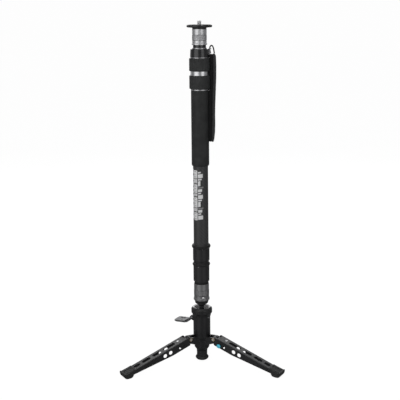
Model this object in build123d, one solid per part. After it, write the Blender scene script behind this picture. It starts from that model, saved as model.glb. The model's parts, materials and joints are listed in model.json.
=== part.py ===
from build123d import *
import os
from math import sin, cos, tan, radians, sqrt

# Camera monopod with a three-legged fluid base. Millimetres, +Z up, origin on the column axis at floor level.
# Seen from -Y the two front legs point to the lower left and lower right, and the third leg points away.
# Heights are written from a datum FLOOR millimetres below the floor; each piece is lowered by FLOOR when it is saved.

# ---- driving dimensions -------------------------------------------------------------------------------------
FLOOR = 4.5                # height of the floor above the datum
FIT = 0.05                 # radial running fit
GAP = 0.4                  # gap between faces of bodies that move apart

# legs
LEG_AZ = {"right": 330.0, "left": 210.0, "rear": 90.0}
HINGE_R, HINGE_Z = 37.5, 65.5      # hinge pin: radius from the axis, height
LEG_SLOPE = 18.8                   # leg top face below the horizontal, at rest
LEG_W = 27.0                       # channel width
LEG_T = 2.0                        # channel wall
LEG_TOP = 9.2                      # top face above the pin
LEG_DEEP = 10.7                    # underside below the pin near the hinge
LEG_TAPER = (58.0, 167.0)          # where the side walls start and end their taper
PIN_R = 3.0

# ball joint
BALL_Z, BALL_R = 118.0, 15.0
STEM_R = 5.8

# tubes
UPPER_RO, UPPER_RI = 18.0, 16.5
MIDDLE_RO, MIDDLE_RI = 16.0, 14.5
INNER_RO, INNER_RI = 14.0, 12.5
TRAVEL = 400.0                     # each tube slide
UPPER_Z = (262.0, 749.0)
MIDDLE_Z = (212.0, 706.0)
INNER_Z = (178.2, 670.0)

# head
PIN_Z = 731.0                      # drive pin of the twist lock
PLATE_Z = 822.0                    # camera platform face
SCREW_R = 4.7625                   # 3/8 inch camera screw

os.makedirs("parts", exist_ok=True)


# ---- helpers ------------------------------------------------------------------------------------------------
def turned(points):
    """A solid of revolution about Z. points are (r, z); ("arc", (r, z), (r, z)) is an arc by a middle and an end."""
    edges, last = [], None
    first = points[0]
    for p in points:
        if last is None:
            last = p
            continue
        if p[0] == "arc":
            edges.append(ThreePointArc((last[0], 0, last[1]), (p[1][0], 0, p[1][1]), (p[2][0], 0, p[2][1])))
            last = p[2]
        else:
            edges.append(Line((last[0], 0, last[1]), (p[0], 0, p[1])))
            last = p
    if abs(last[0] - first[0]) > 1e-9 or abs(last[1] - first[1]) > 1e-9:
        edges.append(Line((last[0], 0, last[1]), (first[0], 0, first[1])))
    return revolve(Face(Wire(edges)), Axis.Z, 360)


def ring(ro, ri, z0, z1, c=0.0, ci=0.0):
    """A plain ring, with its outer rims chamfered by c and its inner rims by ci."""
    pts = [(ri + ci, z0), (ro - c, z0)]
    if c:
        pts.append((ro, z0 + c))
        pts.append((ro, z1 - c))
    else:
        pts.append((ro, z0))
        pts.append((ro, z1))
    if c:
        pts.append((ro - c, z1))
    pts.append((ri + ci, z1))
    if ci:
        pts += [(ri, z1 - ci), (ri, z0 + ci)]
    clean = [pts[0]]
    for p in pts[1:]:
        if abs(p[0] - clean[-1][0]) > 1e-9 or abs(p[1] - clean[-1][1]) > 1e-9:
            clean.append(p)
    return turned(clean)


def rod(r, z0, z1, c=0.0):
    """A plain round bar on the axis, both ends chamfered by c."""
    pts = [(0, z0), (r - c, z0)]
    if c:
        pts += [(r, z0 + c), (r, z1 - c), (r - c, z1)]
    else:
        pts += [(r, z1)]
    pts.append((0, z1))
    return turned(pts)


def hexbar(flats, z0, z1):
    """A hexagonal bar on the axis, sized across its flats."""
    return Pos(0, 0, z0) * extrude(RegularPolygon(flats / 2, 6, major_radius=False), z1 - z0)


def block(x0, x1, y0, y1, z0, z1):
    return Pos((x0 + x1) / 2, (y0 + y1) / 2, (z0 + z1) / 2) * Box(x1 - x0, y1 - y0, z1 - z0)


def bar_y(r, x, z, y0, y1):
    """A round bar along Y."""
    return Pos(x, (y0 + y1) / 2, z) * Rot(90, 0, 0) * Cylinder(r, y1 - y0)


def bar_x(r, y, z, x0, x1):
    """A round bar along X."""
    return Pos((x0 + x1) / 2, y, z) * Rot(0, 90, 0) * Cylinder(r, x1 - x0)


def side_plate(points, y0, y1):
    """A flat plate whose outline is (x, z) points, from y0 to y1."""
    wire = Wire.make_polygon([Vector(p[0], y0, p[1]) for p in points], close=True)
    return extrude(Face(wire), amount=y1 - y0, dir=(0, 1, 0))


def slot_z(x0, x1, w, z0, z1):
    """A cutter for a slot with round ends in a level plate."""
    r = w / 2
    s = block(x0 + r, x1 - r, -r, r, z0, z1)
    s += Pos(x0 + r, 0, (z0 + z1) / 2) * Cylinder(r, z1 - z0)
    s += Pos(x1 - r, 0, (z0 + z1) / 2) * Cylinder(r, z1 - z0)
    return s


def at_azimuth(az):
    return Rot(0, 0, az)


def one(shape):
    """The single solid or the compound of solids in a shape."""
    s = shape.solids()
    return s[0] if len(s) == 1 else Compound(children=list(s))


NODES = {}


def save(name, shape):
    shape = one(Pos(0, 0, -FLOOR) * shape)
    shape.label = name
    NODES[name] = shape
    export_step(shape, "parts/" + name + ".step")


# ---- base: hub, post, foot ----------------------------------------------------------------------------------
EAR_IN, EAR_OUT = 7.3, 11.1        # hinge ear, across the leg

hub = turned([(6.1, 29.8), (12.6, 29.8), (13.2, 31.0), (18.4, 38.9), (18.4, 57.6), (18.9, 58.4), (18.9, 60.6),
              (20.9, 62.2), (20.9, 63.9), (6.1, 63.9)])
ear_outline = [(12.0, 48.0), (20.0, 48.3), (33.0, 53.4), (38.6, 55.6), (42.6, 58.6), (43.6, 62.6), (43.4, 66.4), (41.6, 69.0), (38.6, 69.9),
               (28.0, 69.4), (20.0, 69.0), (12.0, 69.0)]
for az in LEG_AZ.values():
    for side in (-1, 1):
        y0, y1 = sorted((side * EAR_IN, side * EAR_OUT))
        ear = side_plate(ear_outline, y0, y1)
        hub += at_azimuth(az) * ear
    web = side_plate([(12.0, 49.5), (19.6, 49.8), (21.6, 53.0), (21.6, 63.5), (12.0, 63.5)], -EAR_IN - 0.5, EAR_IN + 0.5)
    hub += at_azimuth(az) * web
# room for the fluid housing above the hub, the hinge pins and the centre bolt
hub -= rod(21.3, 64.0, 90.0)
hub -= rod(6.1, 20.0, 70.0)
for az in LEG_AZ.values():
    hub -= at_azimuth(az) * bar_y(PIN_R, HINGE_R, HINGE_Z, -20, 20)
save("base_hub", hub)

post = turned([(6.1, 12.5), (10.6, 12.5), (10.6, 14.0), (12.9, 14.0), (12.9, 26.4), (13.2, 26.8), (13.2, 29.2),
               (12.6, 29.7), (6.1, 29.7)])
save("center_post", post)

# flared rubber foot, pushed over the step of the post; while the legs are down it stands a hair above the floor
foot = turned([(0, 4.65), (8.0, 4.75), ("arc", (13.2, 6.0), (15.6, 8.8)), ("arc", (16.2, 10.6), (15.6, 12.3)),
               (13.4, 15.4), (13.0, 15.4), (13.0, 13.9), (10.7, 13.9), (10.7, 12.4), (0, 12.4)])
save("center_foot", foot)

bolt = rod(9.4, 58.6, 63.6, 0.6) + rod(5.9, 12.6, 58.6)
hub_recess = rod(9.6, 58.5, 70.0)
hub = hub - hub_recess
save("base_hub", hub)
bolt -= hexbar(6.0, 60.0, 63.7)
save("center_bolt", bolt)

pins, washers = None, None
for az in LEG_AZ.values():
    pin = bar_y(PIN_R - 0.02, HINGE_R, HINGE_Z, -11.5, 11.5)
    for side in (-1, 1):
        y0, y1 = sorted((side * 11.45, side * 12.5))
        pin += bar_y(2.6, HINGE_R, HINGE_Z, y0, y1)
    pin = at_azimuth(az) * pin
    pins = pin if pins is None else pins + pin
    for side in (-1, 1):
        y0, y1 = sorted((side * 11.12, side * 11.42))
        w = at_azimuth(az) * (bar_y(3.9, HINGE_R, HINGE_Z, y0, y1) - bar_y(3.05, HINGE_R, HINGE_Z, -20, 20))
        washers = w if washers is None else washers + w
save("leg_hinge_pins", pins)
save("hinge_washers", washers)

# ---- base: fluid housing, seat, spring, swivel ring, ball, cap ----------------------------------------------
housing = turned([(15.0, 64.2), (20.4, 64.2), (21.0, 64.8), (21.0, 119.0), (20.6, 119.6), (19.6, 119.6), (19.6, 125.2),
                  (18.0, 125.2), (18.0, 93.0), (15.0, 93.0)])
# pockets that clear the leg knuckles when the legs are folded up
for az in LEG_AZ.values():
    pocket = side_plate([(18.3, 60.0), (24.0, 60.0), (24.0, 84.0), (21.3, 80.0), (18.3, 66.0)], -12.0, 12.0)
    housing -= at_azimuth(az) * pocket
# pedal bracket: two cheeks with a slot between them, at the left between two legs
PEDAL_AZ, PEDAL_R, PEDAL_Z = 150.0, 25.2, 111.5
bracket = side_plate([(19.0, 103.5), (24.0, 104.6), (29.0, 108.6), (29.0, 114.2), (26.4, 116.6), (19.0, 117.4)], -7.0, 7.0)
bracket -= side_plate([(21.3, 90.0), (40.0, 90.0), (40.0, 130.0), (21.3, 130.0)], -4.2, 4.2)
bracket -= rod(19.9, 80.0, 130.0)
housing += at_azimuth(PEDAL_AZ) * bracket
housing -= at_azimuth(PEDAL_AZ) * side_plate([(17.0, 107.4), (22.0, 107.4), (22.0, 117.0), (17.0, 117.0)], -4.2, 4.2)
housing -= at_azimuth(PEDAL_AZ) * bar_y(2.02, PEDAL_R, PEDAL_Z, -10, 10)
# index slot at the right of the rim
INDEX_AZ = 326.0
housing -= at_azimuth(INDEX_AZ) * block(19.9, 22.0, -4.6, 4.6, 115.9, 118.3)
save("fluid_housing", housing)

save("pedal_pin", at_azimuth(PEDAL_AZ) * bar_y(2.0, PEDAL_R, PEDAL_Z, -7.4, 7.4))

seat = turned([(6.0, 97.6), (17.9, 97.6), (17.9, 110.2), (12.95, 110.2), ("arc", (10.44, 107.14), (6.0, 104.16)), (6.0, 97.6)])
save("ball_seat", seat)

# wave spring under the seat: a flat ring pressed into three waves
spring = None
for i in range(6):
    a = 60.0 * i
    z = 94.2 if i % 2 else 95.6
    piece = at_azimuth(a) * Pos(14.4, 0, z + 0.5) * Box(4.2, 13.0, 1.0)
    spring = piece if spring is None else spring + piece
spring += ring(16.6, 12.2, 94.9, 95.9)
save("seat_spring", spring)

swivel_z0, swivel_z1 = 110.6, 125.0
ri0 = sqrt((BALL_R + FIT) ** 2 - (swivel_z0 - BALL_Z) ** 2)
ri1 = sqrt((BALL_R + FIT) ** 2 - (swivel_z1 - BALL_Z) ** 2)
swivel = turned([(ri0, swivel_z0), (17.95, swivel_z0), (17.95, swivel_z1), (ri1, swivel_z1),
                 ("arc", (BALL_R + FIT, BALL_Z), (ri0, swivel_z0))])
save("ball_swivel_ring", swivel)

ball = Pos(0, 0, BALL_Z) * Sphere(BALL_R)
stem = turned([(0, 120.0), (STEM_R, 120.0), (STEM_R, 144.2), (11.6, 149.4), (12.0, 150.2), (12.0, 152.2), (11.0, 152.2),
               (11.0, 175.4), (10.4, 176.0), (0, 176.0)])
save("tilt_ball", ball + stem)

save("pan_bearing", ring(14.0, 11.06, 152.25, 153.85))

cap = turned([(19.8, 120.0), (22.3, 120.0), (22.5, 123.2), (25.6, 128.8), (25.6, 137.4), (25.0, 138.8), (22.0, 142.0),
              (18.4, 142.0), (16.8, 140.6), (13.7, 125.5), (19.8, 125.5)])
save("tension_cap", cap)

# ---- foot pedal ---------------------------------------------------------------------------------------------
# pressed sheet arm: narrow between the bracket's cheeks, S-shaped, widening under the tread
arm_outline = [(18.7, 110.0), (18.7, 114.2), (21.5, 116.2), (26.5, 116.0), (30.5, 113.4), (35.2, 104.4), (38.6, 99.4), (42.2, 97.45), (46.0, 97.25),
               (68.0, 95.85), (68.0, 93.9), (44.0, 95.3), (38.0, 96.3), (33.0, 101.2), (29.6, 107.9), (24.5, 107.9), (21.3, 109.2)]
arm = side_plate(arm_outline, -12.0, 12.0)
for side in (-1, 1):
    trim = [(10.0, side * 4.0), (30.5, side * 4.0), (44.0, side * 10.5), (80.0, side * 11.5), (80.0, side * 20.0), (10.0, side * 20.0)]
    wire = Wire.make_polygon([Vector(q[0], q[1], 80.0) for q in trim], close=True)
    arm -= extrude(Face(wire), amount=50, dir=(0, 0, 1))
arm -= bar_y(2.06, PEDAL_R, PEDAL_Z, -20, 20)
save("pedal_lever", at_azimuth(PEDAL_AZ) * arm)
# broad tread on the arm, with one window
TREAD_TILT, TREAD_T = 3.64, 3.6
tread = extrude(Polygon((42.5, -11.5), (46.5, -14.6), (69.6, -14.6), (72.2, -11.8), (72.8, 0.0), (72.2, 11.4), (69.6, 14.0), (46.5, 14.0),
                        (42.5, 11.0), align=None), TREAD_T)
tread -= Pos(56.0, -6.2, 0) * Rot(0, 0, 12) * slot_z(-5.0, 5.0, 5.6, -1.0, 6.0)
save("pedal_tread", at_azimuth(PEDAL_AZ) * Pos(46.0, 0, 97.38) * Rot(0, TREAD_TILT, 0) * Pos(-46.0, 0, 0) * tread)

# ---- legs ---------------------------------------------------------------------------------------------------
def leg_place(az):
    return Rot(0, 0, az) * Pos(HINGE_R, 0, HINGE_Z) * Rot(0, LEG_SLOPE, 0)


HALF = LEG_W / 2
TAPER_END_N = -0.2
cheek = [(9.4, LEG_TOP), (6.0, 7.6), (4.6, 5.6), (4.6, -7.0), (8.0, -LEG_DEEP), (LEG_TAPER[0], -LEG_DEEP), (LEG_TAPER[1], TAPER_END_N),
         (186.0, TAPER_END_N + 1.9), (186.0, LEG_TOP)]
channel = side_plate(cheek, -HALF, HALF)
inner = [(0.0, LEG_TOP - LEG_T), (0.0, -40.0), (200.0, -40.0), (200.0, LEG_TOP - LEG_T)]
channel -= side_plate(inner, -HALF + LEG_T, HALF - LEG_T)
# the top plate starts beyond the ears
channel -= block(0.0, 12.0, -HALF + LEG_T, HALF - LEG_T, 0.0, 20.0)
for x0, x1 in ((38.9, 72.6), (78.8, 103.0), (109.7, 133.2), (138.8, 156.3)):
    channel -= slot_z(x0, x1, 11.0, 5.0, 12.0)
for x, n, d in ((33.7, -3.1, 6.6), (61.1, -0.9, 10.0), (76.8, -0.9, 10.0)):
    channel -= bar_y(d / 2, x, n, -20, 20)
BUTTON_X, BUTTON_N = 21.0, -5.6
channel -= bar_y(3.6, BUTTON_X, BUTTON_N, -20, 20)
channel -= Pos(29.9, 0, 8) * Cylinder(2.1, 10)
outer_edges = channel.edges().filter_by(Axis.X).group_by(Axis.Z)[-1]
try:
    channel = fillet([e for e in outer_edges if abs(abs(e.center().Y) - HALF) < 0.01], 1.4)
except Exception as err:
    print("channel top edges stay sharp:", err)

KW = 7.0                           # half the knuckle's width between the ears
knuckle = side_plate([(0.0, 4.8), (0.0, -9.2), (12.0, -9.2), (30.0, -8.6), (40.0, 7.0), (26.0, 7.0), (12.0, 7.0), (7.0, 5.0)], -KW, KW)
knuckle += bar_y(5.0, 0.0, 0.0, -KW, KW)
# small catch on the knuckle's top
knuckle += side_plate([(0.4, 3.0), (1.2, 6.2), (2.4, 7.0), (4.6, 6.8), (6.0, 5.4), (6.0, 3.0)], 1.6, KW)
wide = side_plate([(12.2, 7.0), (12.2, -10.2), (27.0, -10.2), (37.5, 7.0)], -HALF + LEG_T + 0.1, HALF - LEG_T - 0.1)
knuckle += wide
knuckle -= bar_y(PIN_R + 0.05, 0.0, 0.0, -30, 30)
knuckle -= bar_y(3.6, BUTTON_X, BUTTON_N, -30, 30)
knuckle -= bar_y(3.3, 33.7, -3.1, -30, 30)
knuckle -= Pos(29.9, 0, 5) * Cylinder(1.6, 12)

# its flat sole lies on the floor while the leg is down
SOLE = lambda x: (FLOOR - HINGE_Z + x * sin(radians(LEG_SLOPE))) / cos(radians(LEG_SLOPE))
boot = side_plate([(158.0, 9.9), (158.0, 9.3), (162.0, 9.3), (162.0, 6.6), (166.4, 6.6), (166.9, -0.6), (168.2, -2.2), (170.2, -3.7),
                   (173.2, -4.7), (176.8, SOLE(176.8)), (187.0, SOLE(187.0)), (189.0, 1.2), (190.2, 4.2), (190.5, 7.2), (189.8, 9.8),
                   (188.2, 11.7), (186.6, 12.1), (185.2, 11.2), (184.3, 9.9)], -15.0, 15.0)
# the boot is cut back to the channel's width at its inner end and flares towards its tip
for side in (-1, 1):
    y = side * 15.0
    flare = [(150.0, side * 13.9), (170.0, side * 13.9), (182.0, side * 15.01), (182.0, side * 22), (150.0, side * 22)]
    wire = Wire.make_polygon([Vector(p[0], p[1], -20) for p in flare], close=True)
    boot -= extrude(Face(wire), amount=40, dir=(0, 0, 1))
    nose = [(184.0, side * 15.01), (188.4, side * 13.8), (190.6, side * 10.4), (194.0, side * 10.4), (194.0, side * 22), (184.0, side * 22)]
    wire = Wire.make_polygon([Vector(p[0], p[1], -20) for p in nose], close=True)
    boot -= extrude(Face(wire), amount=40, dir=(0, 0, 1))
# the channel's end sits inside the boot
boot -= side_plate([(150.0, LEG_TOP + 0.05), (150.0, TAPER_END_N - 6), (LEG_TAPER[1], TAPER_END_N - 0.05), (186.1, TAPER_END_N + 1.85),
                    (186.1, LEG_TOP + 0.05)], -HALF - 0.05, HALF + 0.05)
# a raised tongue on the top of the boot with a long recess
boot += side_plate([(158.2, LEG_TOP + 0.06), (185.0, LEG_TOP + 0.06), (185.0, LEG_TOP + 1.1), (160.0, LEG_TOP + 1.1)], -10.5, 10.5)
boot -= slot_z(160.5, 183.0, 12.0, LEG_TOP + 0.45, LEG_TOP + 4.0)

for name, az in LEG_AZ.items():
    place = leg_place(az)
    save(name + "_leg_channel", place * channel)
    save(name + "_leg_knuckle", place * knuckle)
    save(name + "_leg_boot", place * boot)
    # lock button: blue head on the near side of its leg, shaft through the leg, black tip at the far side
    head = bar_y(4.9, BUTTON_X, BUTTON_N, -HALF - 3.2, -HALF - 1.8)
    button = head + bar_y(3.5, BUTTON_X, BUTTON_N, -HALF - 1.9, HALF + 0.8)
    save(name + "_leg_button", place * button)

# ---- base coupler and inner tube ----------------------------------------------------------------------------
coupler = turned([(11.06, 153.9), (14.2, 153.9), (14.2, 152.6), (15.6, 152.6), (17.4, 160.2), (17.4, 161.1), (19.5, 161.6), (19.5, 165.8),
                  (18.3, 166.6), (18.3, 172.8), (15.6, 172.8), (15.6, 187.2), (18.3, 187.2), (18.3, 202.2), (17.9, 202.6), (14.02, 202.6), (14.02, 178.0),
                  (11.06, 178.0)])
REL_AZ, REL_Z, REL_R = 282.0, 169.2, 3.3
coupler -= at_azimuth(REL_AZ) * bar_x(REL_R + 0.05, 0, REL_Z, 11.5, 30)
save("base_coupler", coupler)
save("base_release_button", at_azimuth(REL_AZ) * (bar_x(REL_R, 0, REL_Z, 13.2, 19.2) + bar_x(2.6, 0, REL_Z, 19.1, 19.7)))
save("base_knurled_ring", ring(18.6, 15.66, 173.1, 186.9, 0.5))
save("coupler_seal_ring", ring(17.5, 14.02, 202.65, 205.2, 0.4))
save("inner_tube", ring(INNER_RO, INNER_RI, *INNER_Z))

def tube_plug(ro, ri, top, body, flange):
    """Plug in the top of a tube: a body inside the wall, a flange on its rim and a hub for the collet above."""
    return turned([(7.05, top - body), (ri - 0.03, top - body), (ri - 0.03, top), (flange, top), (flange, top + 2.0), (9.3, top + 2.0),
                   (9.3, top + 16.0), (7.05, top + 16.0)])


def collet(ri, ro, z0, z1):
    """Split expanding sleeve."""
    c = ring(ro, ri, z0, z1, 0.6)
    for a in (0, 120, 240):
        c -= Rot(0, 0, a) * block(ri + 1.6, 30, -1.0, 1.0, z0 - 1, z1 + 1)
    return c


save("inner_tube_plug", tube_plug(INNER_RO, INNER_RI, 670.0, 16.0, 14.4))
save("inner_lock_collet", collet(9.4, 14.42, 672.2, 685.2))
cam_low = rod(6.98, 656.5, 685.5, 0.5) - hexbar(9.3, 640, 700)
save("inner_lock_cam", cam_low)

# ---- middle tube --------------------------------------------------------------------------------------------
save("middle_tube", ring(MIDDLE_RO, MIDDLE_RI, *MIDDLE_Z))
middle_collar = turned([(MIDDLE_RO + 0.03, 212.0), (MIDDLE_RO - 0.1, 211.95), (MIDDLE_RO - 0.1, 205.6), (15.9 + 0.4, 205.6), (16.5, 206.0),
                        (16.5, 208.6), (18.9, 209.4), (19.4, 210.0), (19.4, 248.6), ("arc", (21.4, 251.8), (19.2, 255.2)), (18.6, 255.7),
                        (MIDDLE_RO + 0.03, 255.7)])
save("middle_collar", middle_collar)
save("middle_bush", ring(MIDDLE_RO - 0.15, INNER_RO + FIT, 205.7, 211.8))
save("middle_tube_plug", tube_plug(MIDDLE_RO, MIDDLE_RI, 706.0, 16.0, 16.4))
save("middle_lock_collet", collet(9.4, 16.42, 708.2, 721.2))
cam_mid = rod(6.98, 692.0, 721.5, 0.5) + hexbar(9.0, 250.0, 692.5)
cam_mid -= hexbar(6.3, 200.0, 760.0)
save("middle_lock_rod", cam_mid)

# ---- upper tube, handle, head -------------------------------------------------------------------------------
TWIST = 60.0
upper_tube = ring(UPPER_RO, UPPER_RI, *UPPER_Z)
# two arc slots for the drive pin
for base in (0, 180):
    a = -10.5
    while a <= TWIST + 10.5 + 0.01:
        upper_tube -= Rot(0, 0, base + a) * block(14, 20, -1.6, 1.6, PIN_Z - 2.9, PIN_Z + 2.9)
        a += 5.0625
save("upper_tube", upper_tube)
upper_collar = turned([(UPPER_RO + 0.03, 262.0), (UPPER_RO - 0.1, 261.95), (UPPER_RO - 0.1, 256.1), (18.3, 256.1), (18.6, 256.5), (18.6, 259.8),
                       (19.6, 261.2), (20.1, 262.4), (20.1, 292.4), ("arc", (22.6, 296.6), (20.6, 301.2)), (18.9, 302.6), (UPPER_RO + 0.03, 302.6)])
save("upper_collar", upper_collar)
save("upper_bush", ring(UPPER_RO - 0.15, MIDDLE_RO + FIT, 256.2, 261.8))

foam = turned([(UPPER_RO + 0.03, 494.8), (19.8, 494.8), (20.6, 496.0), (20.9, 498.4), (20.9, 671.2), (20.3, 672.6), (UPPER_RO + 0.03, 672.6)])
save("foam_handle", foam)

# three silver trim rings: under the grip, over the grip, over the head collar
trim = ring(21.2, UPPER_RO + 0.03, 672.8, 675.5, 0.3) + ring(21.8, UPPER_RO + 0.03, 746.9, 748.95, 0.3) + ring(16.9, 13.05, 767.5, 770.2, 0.3)
save("trim_rings", trim)

head_collar = turned([(8.0, 741.0), (UPPER_RI - 0.03, 741.0), (UPPER_RI - 0.03, 749.05), (21.6, 749.05), (22.1, 749.6), (22.1, 752.0), (21.3, 766.6),
                      (20.7, 767.4), (13.0, 767.4), (13.0, 770.3), (15.2, 770.3), (15.2, 776.3), (8.98, 776.3), (8.98, 800.0), (0.0, 800.0), (0.0, 760.0),
                      (8.0, 760.0)])
head_collar -= block(19.6, 30, -4.2, 4.2, 749.5, 770.0)
save("head_collar", head_collar)
# plate let into the collar, with a level eye at its top for the strap's cord
EYE_X, EYE_Z = 23.6, 767.4
anchor = block(19.65, 21.7, -4.0, 4.0, 749.7, 767.2)
anchor += Pos(EYE_X, 0, EYE_Z) * Cylinder(3.6, 1.6)
anchor -= block(10.0, 20.6, -10, 10, 767.25, 775.0)
anchor -= Pos(EYE_X, 0, EYE_Z) * Cylinder(2.0, 6.0)
save("strap_anchor", anchor)

# ---- twist lock ---------------------------------------------------------------------------------------------
sleeve = turned([(UPPER_RO + FIT, 676.2), (20.9, 676.2), (20.9, 706.9), (21.2, 706.9), (21.6, 707.3), (21.6, 716.6), (21.2, 717.0), (20.9, 717.0), (20.9, 746.4),
                 (UPPER_RO + FIT, 746.4)])
sleeve -= bar_x(2.5, 0, PIN_Z, -30, 30)
save("grip_sleeve", sleeve)


def grip_ring(z0, z1):
    """Rubber grip ring with rounded rims and shallow flutes."""
    g = turned([(20.95, z0), (22.8, z0), ("arc", (23.93, z0 + 0.5), (24.4, z0 + 1.8)), (24.4, z1 - 1.8), ("arc", (23.93, z1 - 0.5), (22.8, z1)), (20.95, z1)])
    return g


save("grip_rubbers", grip_ring(676.3, 706.8) + grip_ring(717.1, 746.3))
crosshead = rod(16.2, 725.0, 737.0, 0.5) + hexbar(6.0, 286.0, 726.0)
crosshead -= bar_x(2.5, 0, PIN_Z, -30, 30)
save("upper_lock_rod", crosshead)
save("drive_pin", bar_x(2.48, 0, PIN_Z, -20.6, 20.6))

# ---- top coupler and camera platform ------------------------------------------------------------------------
top = turned([(9.02, 776.6), (17.3, 776.6), (17.7, 777.0), (17.7, 780.0), (16.7, 780.6), (16.7, 786.4), (14.2, 786.4), (14.2, 799.8), (16.7, 799.8),
              (16.7, 812.2), (16.2, 812.8), (10.4, 812.8), (10.4, 804.6), (9.02, 804.6)])
save("top_coupler", top)
save("top_knurled_ring", ring(16.9, 14.26, 786.75, 799.45, 0.45))

platform = turned([(SCREW_R + 0.05, 813.0), (16.2, 813.0), (16.6, 813.5), (16.6, 815.0), (26.6, 816.2), ("arc", (29.0, 816.9), (29.5, 818.2)), (29.5, 820.0),
                   ("arc", (29.2, 820.9), (28.2, 821.3)), (27.4, 821.3), (27.4, 820.3), (8.5, 820.3), (8.5, PLATE_Z), (SCREW_R + 0.05, PLATE_Z)])
save("top_platform", platform)
save("platform_pad", turned([(8.6, 820.35), (27.3, 820.35), (27.3, PLATE_Z - 0.5), (26.8, PLATE_Z), (8.6, PLATE_Z)]))
screw = turned([(0, 805.0), (8.8, 805.0), (8.8, 811.2), (8.2, 811.8), (4.1, 811.8), (4.1, 822.4), (SCREW_R, 822.4), (SCREW_R, 830.4), (SCREW_R - 0.7, 831.1),
                (0, 831.1)])
screw -= Pos(0, 0, 830.4) * Box(12, 1.4, 1.6)
save("camera_screw", screw)

# ---- wrist strap --------------------------------------------------------------------------------------------
# a short cord comes out of the band, up through the eye, over and down into the band again
CORD_R = 1.55
CORD = [(25.6, 0, 757.15), (24.0, 0, 762.6), (23.5, 0, 767.6), (24.2, 0, 772.9), (28.3, 0, 775.9), (31.7, 0, 771.0), (33.0, 0, 764.2), (34.2, 0, 757.05)]
CORD_BENDS = [14.0, 14.0, 4.2, 3.3, 6.0, 20.0]
path = FilletPolyline(*CORD, radius=CORD_BENDS)
cord = sweep(Plane(path @ 0, z_dir=path % 0) * Circle(CORD_R), path=path)
save("strap_cord", cord)
print("strap cord length", round(path.length, 1), "bends", CORD_BENDS, "section x length", round(path.length * 3.14159265 * CORD_R ** 2, 1), "volume", round(cord.volume, 1))
# folded, padded band: its inner edge follows the grip and the handle, its outer edge bows a little
band = side_plate([(23.6, 756.6), (36.3, 756.6), (37.6, 753.6), (38.1, 748.0), (38.7, 728.0), (38.4, 700.0), (37.0, 665.0), (36.0, 640.0),
                   (35.5, 615.0), (35.7, 594.0), (35.1, 575.0), (33.4, 560.0), (32.3, 552.2), (31.5, 551.6), (21.0, 553.2), (20.0, 554.4), (19.4, 560.0),
                   (19.4, 664.0), (23.4, 676.0), (23.4, 744.4), (23.4, 748.0)], -9.0, 9.0)
# its inner face is hollowed to the handle and the grip
band -= rod(21.2, 540.0, 666.0) + turned([(0, 665.9), (21.2, 665.9), (24.75, 674.5), (24.75, 748.6), (23.5, 750.4), (0, 750.4)])
save("wrist_strap", band)

total = 0.0
for n, s in NODES.items():
    total += s.volume
print("nodes", len(NODES), "volume cm3", round(total / 1000, 1))
boxes = [n.bounding_box() for n in NODES.values()]
print("bounds", [round(v, 2) for v in (min(b.min.X for b in boxes), min(b.min.Y for b in boxes), min(b.min.Z for b in boxes),
                                       max(b.max.X for b in boxes), max(b.max.Y for b in boxes), max(b.max.Z for b in boxes))])
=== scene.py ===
import bpy, bmesh, math, json, random
from math import sin, cos, tan, pi, radians, sqrt, atan2, floor, exp
from mathutils import Matrix, Vector, noise


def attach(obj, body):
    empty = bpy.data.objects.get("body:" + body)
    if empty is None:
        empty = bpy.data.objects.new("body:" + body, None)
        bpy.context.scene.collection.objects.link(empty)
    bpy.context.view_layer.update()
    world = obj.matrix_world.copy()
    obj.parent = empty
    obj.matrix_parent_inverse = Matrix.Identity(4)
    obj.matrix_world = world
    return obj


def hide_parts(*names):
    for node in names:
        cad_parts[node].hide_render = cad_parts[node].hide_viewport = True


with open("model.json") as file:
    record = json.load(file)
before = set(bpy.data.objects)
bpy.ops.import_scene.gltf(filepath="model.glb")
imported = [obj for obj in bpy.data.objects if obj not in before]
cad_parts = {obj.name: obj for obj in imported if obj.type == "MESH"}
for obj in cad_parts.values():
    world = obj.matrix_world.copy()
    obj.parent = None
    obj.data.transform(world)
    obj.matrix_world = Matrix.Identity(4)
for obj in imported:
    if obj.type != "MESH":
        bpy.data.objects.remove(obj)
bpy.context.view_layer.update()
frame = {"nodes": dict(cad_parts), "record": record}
NODES = frame["nodes"]
scene = bpy.context.scene
FLOOR = 4.5                       # the heights below are written from a datum this far under the floor, in millimetres


def mm(x, y, z):
    return Vector((x * 0.001, y * 0.001, (z - FLOOR) * 0.001))


# ---- view and light ------------------------------------------------------------------------------------------
F_PX, CAM_D, CAM_H, CAM_P = 868.8, 2.027, 0.8695, radians(12.88)
cam_data = bpy.data.cameras.new("camera")
cam = bpy.data.objects.new("camera", cam_data)
scene.collection.objects.link(cam)
cam_data.sensor_width = 36.0
cam_data.lens = F_PX / 400.0 * 36.0
cam_data.clip_start, cam_data.clip_end = 0.05, 60.0
cam.matrix_world = (Matrix.Translation((-0.0019, -CAM_D, CAM_H)) @ Matrix.Rotation(pi / 2 - CAM_P, 4, "X")
                    @ Matrix.Rotation(radians(-0.505), 4, "Z"))
scene.camera = cam

scene.view_settings.view_transform = "Standard"
scene.view_settings.look = "None"

world = bpy.data.worlds.new("studio")
scene.world = world
world.use_nodes = True
world.node_tree.nodes["Background"].inputs["Color"].default_value = (0.97, 0.98, 1.0, 1)
world.node_tree.nodes["Background"].inputs["Strength"].default_value = 0.20


def area(name, loc, target, w, h, power, colour=(1, 1, 1)):
    d = bpy.data.lights.new(name, "AREA")
    d.shape, d.size, d.size_y, d.energy, d.color = "RECTANGLE", w, h, power, colour
    o = bpy.data.objects.new(name, d)
    scene.collection.objects.link(o)
    o.location = loc
    o.rotation_mode = "QUATERNION"
    o.rotation_quaternion = (Vector(target) - Vector(loc)).to_track_quat("-Z", "Y")
    return o


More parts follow.
